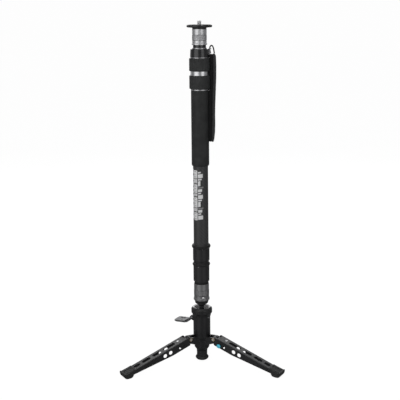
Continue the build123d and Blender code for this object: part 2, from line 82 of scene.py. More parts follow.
area("soft_left", (-1.36, -1.52, 0.72), (0, 0, 0.42), 1.95, 2.3, 15.0)
area("soft_right", (1.22, -1.58, 0.72), (0, 0, 0.42), 1.2, 2.3, 7.5)
area("top", (-0.2, -0.1, 2.6), (0, 0, 0.3), 1.8, 1.8, 14.0)
area("back_high", (0.0, 2.1, 1.55), (0, 0, 0.1), 2.6, 1.1, 14.0)
area("rear_left", (-1.7, 1.3, 0.9), (0, 0, 0.45), 0.8, 2.0, 1.5)
area("rear_right", (1.8, 1.1, 0.9), (0, 0, 0.45), 0.8, 2.0, 0.8)
area("behind", (-0.3, 2.5, 0.6), (0, 0, 0.4), 1.3, 1.8, 9.0)

# ---- node materials ------------------------------------------------------------------------------------------
class Mat:
    """A node material under construction: a principled shader and short ways to make the nodes that drive it."""

    def __init__(self, name, color=(0.5, 0.5, 0.5), metallic=0.0, rough=0.5, spec=0.5, coat=0.0, coat_rough=0.1, sheen=0.0, sheen_rough=0.5):
        self.m = bpy.data.materials.new(name)
        self.m.use_nodes = True
        self.t = self.m.node_tree
        self.t.nodes.clear()
        self.out = self.t.nodes.new("ShaderNodeOutputMaterial")
        self.b = self.t.nodes.new("ShaderNodeBsdfPrincipled")
        self.t.links.new(self.b.outputs[0], self.out.inputs[0])
        i = self.b.inputs
        i["Base Color"].default_value = (*color, 1)
        i["Metallic"].default_value = metallic
        i["Roughness"].default_value = rough
        i["Specular IOR Level"].default_value = spec
        i["Coat Weight"].default_value = coat
        i["Coat Roughness"].default_value = coat_rough
        i["Sheen Weight"].default_value = sheen
        i["Sheen Roughness"].default_value = sheen_rough
        self.m.diffuse_color = (*color, 1)
        self._obj = None

    def node(self, kind, **kw):
        n = self.t.nodes.new(kind)
        for k, v in kw.items():
            setattr(n, k, v)
        return n

    def link(self, a, b):
        self.t.links.new(a, b)

    @property
    def obj(self):
        if self._obj is None:
            self._obj = self.node("ShaderNodeTexCoord").outputs["Object"]
        return self._obj

    def put(self, sock, v):
        if hasattr(v, "is_linked") or hasattr(v, "links"):
            self.link(v, sock)
        else:
            sock.default_value = v

    def math(self, op, a, b=None, c=None, clamp=False):
        n = self.node("ShaderNodeMath", operation=op, use_clamp=clamp)
        self.put(n.inputs[0], a)
        if b is not None:
            self.put(n.inputs[1], b)
        if c is not None:
            self.put(n.inputs[2], c)
        return n.outputs[0]

    def xyz(self, vec=None):
        n = self.node("ShaderNodeSeparateXYZ")
        self.link(vec or self.obj, n.inputs[0])
        return n.outputs

    def vec(self, x, y, z):
        n = self.node("ShaderNodeCombineXYZ")
        for s, v in zip(n.inputs, (x, y, z)):
            self.put(s, v)
        return n.outputs[0]

    def scaled(self, sx, sy, sz, vec=None):
        n = self.node("ShaderNodeMapping")
        n.inputs["Scale"].default_value = (sx, sy, sz)
        self.link(vec or self.obj, n.inputs["Vector"])
        return n.outputs[0]

    def noise(self, scale, detail=3.0, rough=0.55, vec=None, dist=0.0):
        n = self.node("ShaderNodeTexNoise")
        n.inputs["Scale"].default_value = scale
        n.inputs["Detail"].default_value = detail
        n.inputs["Roughness"].default_value = rough
        n.inputs["Distortion"].default_value = dist
        self.link(vec or self.obj, n.inputs["Vector"])
        return n.outputs["Fac"]

    def voronoi(self, scale, vec=None, feature="F1", rand=1.0):
        n = self.node("ShaderNodeTexVoronoi", feature=feature)
        n.inputs["Scale"].default_value = scale
        n.inputs["Randomness"].default_value = rand
        self.link(vec or self.obj, n.inputs["Vector"])
        return n.outputs["Distance"]

    def ramp(self, fac, stops):
        n = self.node("ShaderNodeValToRGB")
        e = n.color_ramp.elements
        while len(e) > len(stops):
            e.remove(e[-1])
        while len(e) < len(stops):
            e.new(0.5)
        for k, (p, c) in enumerate(stops):
            e[k].position = p
            e[k].color = (*c, 1) if hasattr(c, "__len__") else (c, c, c, 1)
        self.link(fac, n.inputs[0])
        return n.outputs[0]

    def remap(self, v, a, b, lo, hi):
        n = self.node("ShaderNodeMapRange")
        self.put(n.inputs[0], v)
        for k, x in zip((1, 2, 3, 4), (a, b, lo, hi)):
            n.inputs[k].default_value = x
        return n.outputs[0]

    def mix(self, fac, a, b):
        n = self.node("ShaderNodeMix", data_type="RGBA")
        self.put(n.inputs[0], fac)
        for s, v in ((n.inputs[6], a), (n.inputs[7], b)):
            if hasattr(v, "links"):
                self.link(v, s)
            else:
                s.default_value = (*v, 1)
        return n.outputs[2]

    def edge(self, radius=0.0005, lo=0.02, hi=0.22):
        """1 on convex and concave edges, 0 on flats."""
        bv = self.node("ShaderNodeBevel", samples=4)
        bv.inputs["Radius"].default_value = radius
        g = self.node("ShaderNodeNewGeometry")
        dot = self.node("ShaderNodeVectorMath", operation="DOT_PRODUCT")
        self.link(bv.outputs[0], dot.inputs[0])
        self.link(g.outputs["Normal"], dot.inputs[1])
        return self.remap(self.math("SUBTRACT", 1.0, dot.outputs["Value"]), lo * 0.1, hi, 0, 1)

    def bump(self, height, dist, strength=1.0):
        n = self.node("ShaderNodeBump")
        n.inputs["Strength"].default_value = strength
        n.inputs["Distance"].default_value = dist
        self.link(height, n.inputs["Height"])
        self.link(n.outputs[0], self.b.inputs["Normal"])
        return n

    def color(self, v):
        self.put(self.b.inputs["Base Color"], v)

    def rough(self, v):
        self.put(self.b.inputs["Roughness"], v)


def black_metal(name, base=(0.014, 0.014, 0.015), rough=0.36, grain=2600, wear_and_highlight=0.5, spec=0.45, keep=False):
    m = Mat(name, base, 0.0, rough, spec)
    big = m.noise(22, 3)
    fine = m.noise(grain, 2, 0.6)
    tint = m.mix(m.remap(big, 0.3, 0.7, 0, 1), tuple(c * 0.82 for c in base), tuple(c * 1.25 for c in base))
    scratch = m.remap(m.noise(160, 6, 0.75, vec=m.scaled(1, 1, 0.12)), 0.66, 0.78, 0, 1)
    # Lighter grey on edges and scratches: the scratches and part of the edge lightening are worn paint, the rest of the
    # edge lightening is a painted edge highlight.
    e = m.math("MULTIPLY", m.edge(), m.remap(m.noise(240, 4, 0.7), 0.42, 0.68, 0, 1))
    wear_and_edge_highlight = m.math("MULTIPLY", m.math("ADD", e, m.math("MULTIPLY", scratch, 0.10)), wear_and_highlight, clamp=True)
    m.color(m.mix(wear_and_edge_highlight, tint, (0.16, 0.16, 0.165)))
    m.rough(m.math("ADD", m.remap(fine, 0.3, 0.7, rough - 0.05, rough + 0.06), m.remap(big, 0.3, 0.7, -0.04, 0.05)))
    m.bump(fine, 0.00003, 0.5)
    return m if keep else m.m


def turned_metal(name, base, rough=0.28, pitch=0.00035, metallic=1.0, amount=0.000006, dirt=0.25, keep=False):
    """Lathe-turned, satin anodised metal."""
    m = Mat(name, base, metallic, rough)
    x, y, z = m.xyz()
    line = m.noise(1.0, 3, 0.8, vec=m.vec(0.0, 0.0, m.math("MULTIPLY", z, 1.0 / pitch)))
    cloud = m.noise(60, 4)
    m.color(m.mix(m.math("MULTIPLY", m.remap(cloud, 0.35, 0.7, 0, 1), dirt), base, tuple(c * 0.62 for c in base)))
    m.rough(m.math("ADD", m.remap(line, 0.2, 0.8, rough - 0.07, rough + 0.09), m.remap(cloud, 0.3, 0.7, -0.03, 0.04)))
    m.bump(line, amount, 0.8)
    return m if keep else m.m


def steel(name, base=(0.6, 0.6, 0.62), rough=0.22):
    m = Mat(name, base, 1.0, rough)
    n = m.noise(420, 5, 0.7)
    m.rough(m.remap(n, 0.3, 0.75, rough - 0.06, rough + 0.16))
    m.color(m.mix(m.remap(m.noise(90, 3), 0.4, 0.75, 0, 0.5), base, tuple(c * 0.6 for c in base)))
    m.bump(n, 0.00001, 0.5)
    return m.m


def rubber(name, base=(0.02, 0.02, 0.02), rough=0.62, cell=1700, depth=0.00006, dust=0.3):
    m = Mat(name, base, 0.0, rough, 0.4)
    n = m.noise(cell, 3, 0.6)
    d = m.remap(m.noise(35, 5, 0.65), 0.45, 0.75, 0, dust)
    m.color(m.mix(d, base, tuple(min(1, c * 2.1 + 0.012) for c in base)))
    m.rough(m.remap(n, 0.3, 0.7, rough - 0.08, rough + 0.1))
    m.bump(n, depth, 0.7)
    return m.m


def foam(name, base=(0.028, 0.029, 0.029)):
    """Closed-cell foam: fine pores over a skin that is a little uneven."""
    m = Mat(name, base, 0.0, 0.72, 0.35)
    pores = m.voronoi(950)
    soft = m.noise(48, 4, 0.6)
    p = m.remap(pores, 0.0, 0.55, 0.0, 1.0)
    m.color(m.mix(m.remap(soft, 0.35, 0.7, 0, 1), tuple(c * 0.8 for c in base), tuple(c * 1.3 for c in base)))
    m.rough(m.remap(p, 0, 1, 0.82, 0.62))
    m.bump(m.math("ADD", m.math("MULTIPLY", p, 0.35), soft), 0.00022, 0.6)
    return m.m


def carbon(name, radius):
    """Clear-coated twill weave wrapped round a tube: tows 2 mm wide, each passing over two and under two."""
    m = Mat(name, (0.02, 0.02, 0.022), 0.0, 0.4, 0.5, coat=0.18, coat_rough=0.3)
    x, y, z = m.xyz()
    tow = 0.0020
    n_round = round(2 * pi * radius / tow / 4) * 4
    u = m.math("MULTIPLY", m.math("ARCTAN2", y, x), n_round / (2 * pi))
    v = m.math("MULTIPLY", z, 1.0 / tow)
    iu, iv = m.math("FLOOR", u), m.math("FLOOR", v)
    k = m.math("FLOORED_MODULO", m.math("ADD", iu, iv), 4.0)
    warp = m.math("LESS_THAN", k, 1.5)
    fu, fv = m.math("FRACT", u), m.math("FRACT", v)
    across = m.mix(warp, m.vec(fv, fv, fv), m.vec(fu, fu, fu))
    cross = m.node("ShaderNodeSeparateXYZ")
    m.link(across, cross.inputs[0])
    a = cross.outputs[0]
    crown = m.math("SINE", m.math("MULTIPLY", a, pi))
    fibre_u = m.noise(1.0, 2, 0.6, vec=m.vec(m.math("MULTIPLY", u, 9.0), m.math("MULTIPLY", v, 0.5), 0.0))
    fibre_v = m.noise(1.0, 2, 0.6, vec=m.vec(m.math("MULTIPLY", v, 9.0), m.math("MULTIPLY", u, 0.5), 3.0))
    fmix = m.mix(warp, m.vec(fibre_v, fibre_v, fibre_v), m.vec(fibre_u, fibre_u, fibre_u))
    fs = m.node("ShaderNodeSeparateXYZ")
    m.link(fmix, fs.inputs[0])
    shade = m.math("MULTIPLY", m.remap(crown, 0, 1, 0.55, 1.0), m.remap(fs.outputs[0], 0.3, 0.7, 0.8, 1.2))
    light = m.mix(warp, (0.037, 0.037, 0.038), (0.060, 0.060, 0.062))
    dark = m.mix(warp, (0.020, 0.020, 0.021), (0.030, 0.030, 0.031))
    m.color(m.mix(m.remap(shade, 0.4, 1.15, 0, 1), dark, light))
    m.rough(m.mix(warp, (0.58,) * 3, (0.48,) * 3))
    m.bump(m.math("ADD", m.math("MULTIPLY", crown, 0.6), m.math("MULTIPLY", fs.outputs[0], 0.4)), 0.00006, 0.35)
    return m.m


def fabric(name, base, scale=1500, sheen=0.25, rough=0.85):
    m = Mat(name, base, 0.0, rough, 0.25, sheen=sheen, sheen_rough=0.4)
    x, y, z = m.xyz()
    wy = m.math("SINE", m.math("MULTIPLY", y, scale * 2 * pi / 2))
    wz = m.math("SINE", m.math("MULTIPLY", z, scale * 2 * pi / 2))
    w = m.math("MULTIPLY", wy, wz)
    n = m.noise(300, 4)
    m.color(m.mix(m.remap(m.math("ADD", w, n), -0.5, 1.5, 0, 1), tuple(c * 0.6 for c in base), tuple(c * 1.6 for c in base)))
    m.bump(w, 0.00012, 0.6)
    return m.m


def zoned(m, inside, base, dark, rough_in=None):
    """Mix a second colour, and a second roughness, into a zone of a finished material."""
    old = m.b.inputs["Base Color"].links[0].from_socket
    m.color(m.mix(inside, old, dark))
    if rough_in is not None:
        r = m.b.inputs["Roughness"]
        prev = r.links[0].from_socket
        m.rough(m.math("ADD", m.math("MULTIPLY", prev, m.math("SUBTRACT", 1.0, inside)), m.math("MULTIPLY", inside, rough_in)))


def band(m, lo, hi, soft=0.25):
    """1 between two heights, in millimetres over the datum."""
    z = m.xyz()[2]
    a, b = (lo - FLOOR) * 0.001, (hi - FLOOR) * 0.001
    up = m.remap(z, a - soft * 0.0005, a + soft * 0.0005, 0, 1)
    dn = m.remap(z, b - soft * 0.0005, b + soft * 0.0005, 1, 0)
    return m.math("MULTIPLY", up, dn)


def radius_of(m):
    x, y, z = m.xyz()
    return m.math("SQRT", m.math("ADD", m.math("MULTIPLY", x, x), m.math("MULTIPLY", y, y)))


def collar_metal(name):
    m = black_metal(name, (0.017, 0.017, 0.018), 0.40, wear_and_highlight=0.25, keep=True)
    # The two rim bands are painted darker as painted shade, and made rougher.
    shaded_lips = m.math("ADD", band(m, 296.2, 300.0, 1.2), band(m, 251.0, 253.8, 1.2), clamp=True)
    zoned(m, shaded_lips, None, (0.006, 0.006, 0.006), 0.6)
    return m.m


def cap_metal(name):
    m = black_metal(name, (0.017, 0.017, 0.018), 0.36, wear_and_highlight=0.3, keep=True)
    r = radius_of(m)
    # The inner cone inside r 18.45 mm is light machined metal all round; the top rim band is painted light only on its
    # far side, a painted highlight.
    back = m.remap(m.xyz()[1], -0.0060, -0.0035, 0, 1)
    rim_highlight = m.math("MULTIPLY", band(m, 141.9, 145.0, 0.1), back)
    cone_and_rim_highlight = m.math("ADD", m.math("MULTIPLY", m.math("LESS_THAN", r, 0.01845), band(m, 124.0, 145.0)), rim_highlight, clamp=True)
    zoned(m, cone_and_rim_highlight, None, (0.72, 0.72, 0.73), 0.5)
    m.put(m.b.inputs["Metallic"], m.math("MULTIPLY", cone_and_rim_highlight, 0.35))
    return m.m


def coupler_metal(name):
    m = turned_metal(name, (0.33, 0.33, 0.335), 0.42, keep=True)
    zoned(m, band(m, 150.0, 161.3, 0.4), None, (0.012, 0.012, 0.012), 0.5)
    m.put(m.b.inputs["Metallic"], m.math("SUBTRACT", 1.0, band(m, 150.0, 161.3, 0.4)))
    return m.m


def button_metal(name, az):
    """Blue anodised head on the leg's near side, plain black shaft and far end."""
    m = turned_metal(name, (0.13, 0.78, 1.0), 0.32, metallic=0.0, dirt=0.1, keep=True)
    x, y, z = m.xyz()
    side = m.math("ADD", m.math("MULTIPLY", x, -sin(radians(az))), m.math("MULTIPLY", y, cos(radians(az))))
    zoned(m, m.remap(side, -0.0152, -0.0150, 0, 1), None, (0.012, 0.012, 0.012), 0.45)
    return m.m


MATS = {
    "hub_black": black_metal("hub_black", rough=0.38),
    "housing_black": black_metal("housing_black", (0.015, 0.015, 0.016), 0.34),
    "post_black": black_metal("post_black", (0.018, 0.018, 0.019), 0.42),
    "foot_rubber": rubber("foot_rubber"),
    "pin_steel": steel("pin_steel"),
    "washer_brass": steel("washer_brass", (0.82, 0.58, 0.26), 0.26),
    "seat_plastic": rubber("seat_plastic", (0.6, 0.6, 0.57), 0.5),
    "spring_steel": steel("spring_steel", (0.5, 0.5, 0.52), 0.3),
    "ball_black": black_metal("ball_black", (0.02, 0.02, 0.021), 0.25, wear_and_highlight=0.2),
    "bearing_bronze": steel("bearing_bronze", (0.7, 0.48, 0.25), 0.35),
    "swivel_bronze": steel("swivel_bronze", (0.66, 0.47, 0.27), 0.32),
    "cap_black": cap_metal("cap_black"),
    "pedal_silver": steel("pedal_silver", (0.27, 0.27, 0.28), 0.34),
    "pedal_tread_silver": steel("pedal_tread_silver", (0.17, 0.17, 0.175), 0.42),
    "coupler_grey": coupler_metal("coupler_grey"),
    "coupler_knurl_grey": turned_metal("coupler_knurl_grey", (0.30, 0.30, 0.305), 0.42),
    "release_silver": steel("release_silver", (0.85, 0.85, 0.86), 0.15),
    "seal_rubber": rubber("seal_rubber", (0.012, 0.012, 0.012), 0.5),
    "tube_carbon": carbon("tube_carbon", 0.018),
    "plug_aluminium": turned_metal("plug_aluminium", (0.6, 0.6, 0.61), 0.3),
    "collet_plastic": rubber("collet_plastic", (0.06, 0.06, 0.062), 0.5),
    "lock_rod_aluminium": turned_metal("lock_rod_aluminium", (0.58, 0.58, 0.6), 0.3),
    "collar_black": collar_metal("collar_black"),
    "bush_plastic": rubber("bush_plastic", (0.05, 0.05, 0.05), 0.5),
    "foam_black": foam("foam_black"),
    "trim_silver": turned_metal("trim_silver", (0.50, 0.50, 0.51), 0.34, amount=0.000002),
    "head_black": black_metal("head_black", (0.016, 0.016, 0.017), 0.17, wear_and_highlight=0.25, spec=0.7),
    "anchor_silver": steel("anchor_silver", (0.30, 0.30, 0.31), 0.42),
    "top_coupler_silver": turned_metal("top_coupler_silver", (0.70, 0.70, 0.71), 0.40, amount=0.000002, dirt=0.12),
    "top_knurl_silver": turned_metal("top_knurl_silver", (0.58, 0.58, 0.59), 0.42, amount=0.000002, dirt=0.12),
    "platform_black": black_metal("platform_black", (0.017, 0.017, 0.018), 0.33),
    "pad_rubber": rubber("pad_rubber", (0.02, 0.02, 0.02), 0.6),
    "screw_steel": steel("screw_steel", (0.86, 0.86, 0.86), 0.46),
    "grip_sleeve_silver": turned_metal("grip_sleeve_silver", (0.76, 0.76, 0.77), 0.30, amount=0.000002),
    "grip_rubber": rubber("grip_rubber", (0.032, 0.033, 0.033), 0.66, 1300, 0.0001),
    "strap_cord_black": fabric("strap_cord_black", (0.02, 0.02, 0.02), 2600),
    "strap_fabric": fabric("strap_fabric", (0.022, 0.022, 0.024)),
    "leg_black": black_metal("leg_black", (0.016, 0.016, 0.017), 0.34),
    "knuckle_black": black_metal("knuckle_black", (0.014, 0.014, 0.015), 0.4),
    "boot_rubber": rubber("boot_rubber", (0.022, 0.022, 0.022), 0.58),
    "button_blue": None,
}
for part in frame["record"]["subparts"]:
    o = NODES[part["node"]]
    o.data.materials.clear()
    m = MATS[part["material_slot"]]
    if m is None:
        m = button_metal("button_blue_" + part["node"].split("_")[0], {"right": 330, "left": 210, "rear": 90}[part["node"].split("_")[0]])
    o.data.materials.append(m)

# ---- building detail pieces ------------------------------------------------------------------------------------
def finish_mesh(me, angle=35.0):
    """Merge doubles, face outwards, and shade smooth with the edges sharper than the angle kept sharp."""
    bm = bmesh.new()
    bm.from_mesh(me)
    bmesh.ops.remove_doubles(bm, verts=bm.verts, dist=1e-6)
    bmesh.ops.dissolve_degenerate(bm, edges=bm.edges, dist=1e-7)
    bmesh.ops.recalc_face_normals(bm, faces=bm.faces)
    for f in bm.faces:
        f.smooth = True
    for e in bm.edges:
        e.smooth = len(e.link_faces) == 2 and e.calc_face_angle(0.0) < radians(angle)
    bm.to_mesh(me)
    bm.free()


def piece(name, verts, faces, mat, body, hides=(), angle=35.0):
    me = bpy.data.meshes.new(name)
    me.from_pydata([tuple(v) for v in verts], [], faces)
    finish_mesh(me, angle)
    me.materials.append(mat)
    o = bpy.data.objects.new(name, me)
    scene.collection.objects.link(o)
    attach(o, body)
    if hides:
        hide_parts(*hides)
    return o


def spun(pts, seg=96, closed=True, radius=None):
    """Verts and faces of a profile of (radius, height) points turned round the axis; radius(angle, z, r) may change a point's radius."""
    verts, faces = [], []
    n = len(pts)
    for r, z in pts:
        for k in range(seg):
            a = 2 * pi * k / seg
            rr = radius(a, z, r) if radius else r
            verts.append(mm(rr * cos(a), rr * sin(a), z))
    for i in range(n if closed else n - 1):
        j = (i + 1) % n
        for k in range(seg):
            q = (k + 1) % seg
            faces.append((i * seg + k, i * seg + q, j * seg + q, j * seg + k))
    return verts, faces


def join(*parts):
    verts, faces = [], []
    for v, f in parts:
        n = len(verts)
        verts += list(v)
        faces += [tuple(i + n for i in q) for q in f]
    return verts, faces


def turned_at(origin, axis, pts, seg=32, twist=0.0):
    """A profile of (radius, height) points in millimetres turned round an axis through origin, in metres; the first and last are on the axis."""
    turn = Vector(axis).normalized().to_track_quat("Z", "Y")
    verts, faces = [], []
    for r, h in pts:
        for k in range(seg):
            a = 2 * pi * k / seg + twist
            verts.append(Vector(origin) + turn @ Vector((r * cos(a) * 0.001, r * sin(a) * 0.001, h * 0.001)))
    for i in range(len(pts) - 1):
        for k in range(seg):
            q = (k + 1) % seg
            faces.append((i * seg + k, i * seg + q, (i + 1) * seg + q, (i + 1) * seg + k))
    return verts, faces


def socket_screw(origin, axis, r, h, deep, seg=30):
    """A low screw head with a hexagon socket."""
    turn = Vector(axis).normalized().to_track_quat("Z", "Y")

    def at(rad, ang, up):
        return Vector(origin) + turn @ Vector((rad * cos(ang) * 0.001, rad * sin(ang) * 0.001, up * 0.001))

    def hexr(a, ap):
        b = (a + pi / 6) % (pi / 3) - pi / 6
        return ap / cos(b)

    rings = [(r, -0.3, 0), (r, h * 0.7, 0), (r - h * 0.3, h, 0), (r * 0.5, h, 1), (r * 0.5, h - deep, 1), (0, h - deep, 0)]
    verts, faces = [], []
    for rad, up, hx in rings:
        for k in range(seg):
            a = 2 * pi * k / seg
            verts.append(at(hexr(a, rad) if hx else rad, a, up))
    for i in range(len(rings) - 1):
        for k in range(seg):
            q = (k + 1) % seg
            faces.append((i * seg + k, i * seg + q, (i + 1) * seg + q, (i + 1) * seg + k))
    return verts, faces


def knurl(name, r, ri, z0, z1, mat, body, hides, count, pitch, depth, sub=6):
    """A ring with a diamond knurl between its chamfered rims."""
    lo, hi = z0 + 0.7, z1 - 0.7
    rows = max(8, int((hi - lo) / pitch * sub))
    pts = [(ri, z0), (r - 0.75, z0), (r - depth, z0 + 0.55)]
    pts += [(r, lo + (hi - lo) * i / rows) for i in range(rows + 1)]
    pts += [(r - depth, z1 - 0.55), (r - 0.75, z1), (ri, z1)]

    def rad(a, z, rr):
        if rr < r - 0.001:
            return rr
        u = a * count / (2 * pi) + (z - z0) / pitch
        v = a * count / (2 * pi) - (z - z0) / pitch
        d = min(abs(u - round(u)), abs(v - round(v)))
        return r - depth * (1 - min(1.0, d / 0.36))
    v, f = spun(pts, count * sub, True, rad)
    return piece(name, v, f, mat, body, hides, angle=80)


knurl("top_knurl_detail", 16.9, 14.3, 786.75, 799.45, MATS["top_knurl_silver"], "top_coupler_ring", ("top_knurled_ring",), 60, 1.7, 0.45)
knurl("base_knurl_detail", 18.6, 15.7, 173.1, 186.9, MATS["coupler_knurl_grey"], "base_coupler_ring", ("base_knurled_ring",), 64, 1.7, 0.45)

# camera screw: 3/8 inch, 16 threads to the inch, with a coin slot
SCREW_R, PITCH = 4.7625, 1.5875
sp = [(0.0, 811.8), (4.1, 811.8), (4.1, 822.3)]
rows = 54
for i in range(rows + 1):
    sp.append((SCREW_R, 822.3 + (830.5 - 822.3) * i / rows))
sp += [(SCREW_R - 1.0, 831.1), (0.0, 831.1)]


def thread(a, z, r):
    if r < SCREW_R - 0.001:
        return r
    t = ((z - 822.3) / PITCH - a / (2 * pi)) % 1.0
    tooth = min(1.0, 2.6 * min(t, 1 - t))
    end = min(1.0, max(0.0, (830.9 - z) / 1.1))
    return SCREW_R - 0.85 * max(0.0, 1 - tooth) - 0.55 * (1 - end)


v, f = spun(sp, 60, False, thread)
screw = piece("camera_screw_detail", v, f, MATS["screw_steel"], "upper_section", ("camera_screw",), angle=60)


def cut(o, verts, faces):
    """Cut a closed form out of a piece and keep the result as its mesh."""
    me = bpy.data.meshes.new("cutter")
    me.from_pydata([tuple(v) for v in verts], [], faces)
    finish_mesh(me)
    c = bpy.data.objects.new("cutter", me)
    scene.collection.objects.link(c)
    b = o.modifiers.new("cut", "BOOLEAN")
    b.operation, b.solver, b.object = "DIFFERENCE", "EXACT", c
    done = bpy.data.meshes.new_from_object(o.evaluated_get(bpy.context.evaluated_depsgraph_get()))
    o.modifiers.clear()
    o.data = done
    bpy.data.objects.remove(c)
    bpy.data.meshes.remove(me)


def brick(lo, hi):
    (x0, y0, z0), (x1, y1, z1) = lo, hi
    v = [mm(x, y, z) for z in (z0, z1) for x, y in ((x0, y0), (x1, y0), (x1, y1), (x0, y1))]
    return v, [(0, 3, 2, 1), (4, 5, 6, 7), (0, 1, 5, 4), (1, 2, 6, 5), (2, 3, 7, 6), (3, 0, 4, 7)]


cut(screw, *brick((-7, -0.7, 829.7), (7, 0.7, 832)))

# rubber ring of the camera platform, with turned ribs
pp = [(8.6, 820.35), (27.3, 820.35), (27.3, 821.5), (26.9, 821.95)]
r = 26.4
while r > 10.4:
    pp += [(r, 821.97), (r - 0.25, 821.55), (r - 0.75, 821.55), (r - 1.0, 821.97)]
    r -= 1.6
pp += [(8.8, 821.97), (8.6, 821.8)]
v, f = spun(pp, 144)
piece("platform_pad_detail", v, f, MATS["pad_rubber"], "upper_section", ("platform_pad",), angle=25)


# rubber grip rings: rounded rims and a field of low staggered pads
def grip_field(z0, z1):
    pts = [(20.95, z0), (22.9, z0), (23.55, z0 + 0.18), (24.05, z0 + 0.55), (24.32, z0 + 1.05), (24.4, z0 + 1.8)]
    n = int((z1 - z0 - 6) / 0.42)
    pts += [(24.4, z0 + 3.0 + (z1 - z0 - 6) * i / n) for i in range(n + 1)]
    pts += [(24.4, z1 - 1.8), (24.32, z1 - 1.05), (24.05, z1 - 0.55), (23.55, z1 - 0.18), (22.9, z1), (20.95, z1)]

    def rad(a, z, rr):
        if rr < 24.399 or not z0 + 3 <= z <= z1 - 3:
            return rr
        row = (z - z0 - 3) / 2.5
        u = a * 64 / (2 * pi) + 0.5 * (floor(row) % 2)
        du, dv = abs(u - round(u)) * 2, abs((row % 1.0) - 0.5) * 2
        edge = max(du, dv)
        return 24.4 - 0.24 * min(1.0, max(0.0, (edge - 0.66) / 0.22))
    return spun(pts, 384, True, rad)


v, f = join(grip_field(676.3, 706.8), grip_field(717.1, 746.3))
piece("grip_rubber_detail", v, f, MATS["grip_rubber"], "lock_grip", ("grip_rubbers",), angle=50)

# foam handle: skin that is a little uneven, rolled in at its lower end
fp = [(18.1, 494.9), (19.2, 494.9), (19.8, 495.3), (20.35, 496.2), (20.65, 497.3), (20.8, 498.8)]
fp += [(20.85, 500.0 + 171.0 * i / 120) for i in range(121)]
fp += [(20.6, 672.0), (20.2, 672.6), (18.1, 672.6)]


def foam_skin(a, z, r):
    if r < 18.2:
        return r
    p = Vector((cos(a) * 3.2, sin(a) * 3.2, z * 0.11))
    return r + 0.05 * noise.noise(p) + 0.04 * noise.noise(p * 3.1)


v, f = spun(fp, 120, True, foam_skin)
piece("foam_detail", v, f, MATS["foam_black"], "upper_section", ("foam_handle",), angle=70)

# ---- small hardware --------------------------------------------------------------------------------------------
bright = steel("screw_bright", (0.80, 0.80, 0.81), 0.26)


def round_at(az, r, z):
    a = radians(az)
    return mm(r * cos(a), r * sin(a), z), Vector((cos(a), sin(a), 0))


o, n = round_at(-81, 20.15, 293.7)
v, f = socket_screw(o, n, 1.5, 0.5, 0.5)
piece("upper_collar_screw", v, f, bright, "upper_section")
o, n = round_at(-112, 19.45, 248.2)
v, f = socket_screw(o, n, 1.3, 0.45, 0.45)
piece("middle_collar_screw", v, f, steel("screw_dull", (0.34, 0.34, 0.35), 0.34), "middle_section")
o, n = round_at(282, 19.6, 169.2)
v, f = turned_at(o, n, [(0, -0.6), (2.55, -0.6), (2.75, 0.0), (2.6, 0.35), (2.2, 0.62), (1.2, 0.86), (0, 0.93)], 36)
piece("release_button_crown", v, f, steel("release_crown", (0.92, 0.92, 0.93), 0.2), "release_button")

# index plate in the rim slot of the fluid housing
v, f = [], []
for i in range(13):
    a = radians(326 - 10 + 20 * i / 12)
    for rr, z in ((20.05, 116.1), (20.75, 116.1), (20.75, 118.1), (20.05, 118.1)):
        v.append(mm(rr * cos(a), rr * sin(a), z))
for i in range(12):
    for k in range(4):
        f.append((i * 4 + k, i * 4 + (k + 1) % 4, i * 4 + 4 + (k + 1) % 4, i * 4 + 4 + k))
f += [(3, 2, 1, 0), (48, 49, 50, 51)]
piece("housing_index_plate", v, f, steel("index_plate", (0.62, 0.62, 0.63), 0.38), "base")

LEGS = {"right": 330.0, "left": 210.0, "rear": 90.0}
SLOPE = radians(18.8)


def leg_mm(az, x, y, n):
    """A point of a leg: along it, across it and over its top, from its hinge."""
    a = radians(az)
    r = 37.5 + x * cos(SLOPE) + n * sin(SLOPE)
    return mm(r * cos(a) - y * sin(a), r * sin(a) + y * cos(a), 65.5 - x * sin(SLOPE) + n * cos(SLOPE))


def leg_dir(az, x, y, n):
    return (leg_mm(az, x, y, n) - leg_mm(az, 0, 0, 0)).normalized()


for leg, az in LEGS.items():
    v, f = socket_screw(leg_mm(az, 29.9, 0, 9.2), leg_dir(az, 0, 0, 1), 2.7, 0.75, 0.6)
    piece(leg + "_leg_top_screw", v, f, bright, leg + "_leg")
    # spring-loaded catch screw seen through the knuckle side hole stays dark; the hinge screws get sockets
    heads = [socket_screw(leg_mm(az, 0, s * 12.5, 0), leg_dir(az, 0, s, 0), 2.55, 0.35, 0.3) for s in (-1, 1)]
    v, f = join(*heads)
    piece(leg + "_hinge_screws", v, f, bright, "base")
    v, f = turned_at(leg_mm(az, 21.0, -16.65, -5.6), leg_dir(az, 0, -1, 0), [(0, -0.8), (4.7, -0.8), (4.88, -0.4), (4.88, 0.0), (4.6, 0.35), (3.6, 0.5), (3.3, 0.3),
                                                                       (3.0, 0.5), (1.6, 0.62), (0, 0.66)], 48)
    piece(leg + "_button_crown", v, f, turned_metal("button_crown_" + leg, (0.13, 0.78, 1.0), 0.30, metallic=0.0, dirt=0.06), leg + "_leg_button")

# ---- foot pedal ------------------------------------------------------------------------------------------------
TILT, PED = radians(3.64), radians(150.0)


def tread_mm(u, t, h):
    x = 46.0 + (u - 46.0) * cos(TILT) + h * sin(TILT)
    z = 97.38 - (u - 46.0) * sin(TILT) + h * cos(TILT)
    return mm(x * cos(PED) - t * sin(PED), x * sin(PED) + t * cos(PED), z)


def on_tread(name, outline, h0, h1, mat):
    n = len(outline)
    v = [tread_mm(u, t, h0) for u, t in outline] + [tread_mm(u, t, h1) for u, t in outline]
    f = [tuple(range(n - 1, -1, -1)), tuple(range(n, 2 * n))] + [(i, (i + 1) % n, n + (i + 1) % n, n + i) for i in range(n)]
    return piece(name, v, f, mat, "pedal")


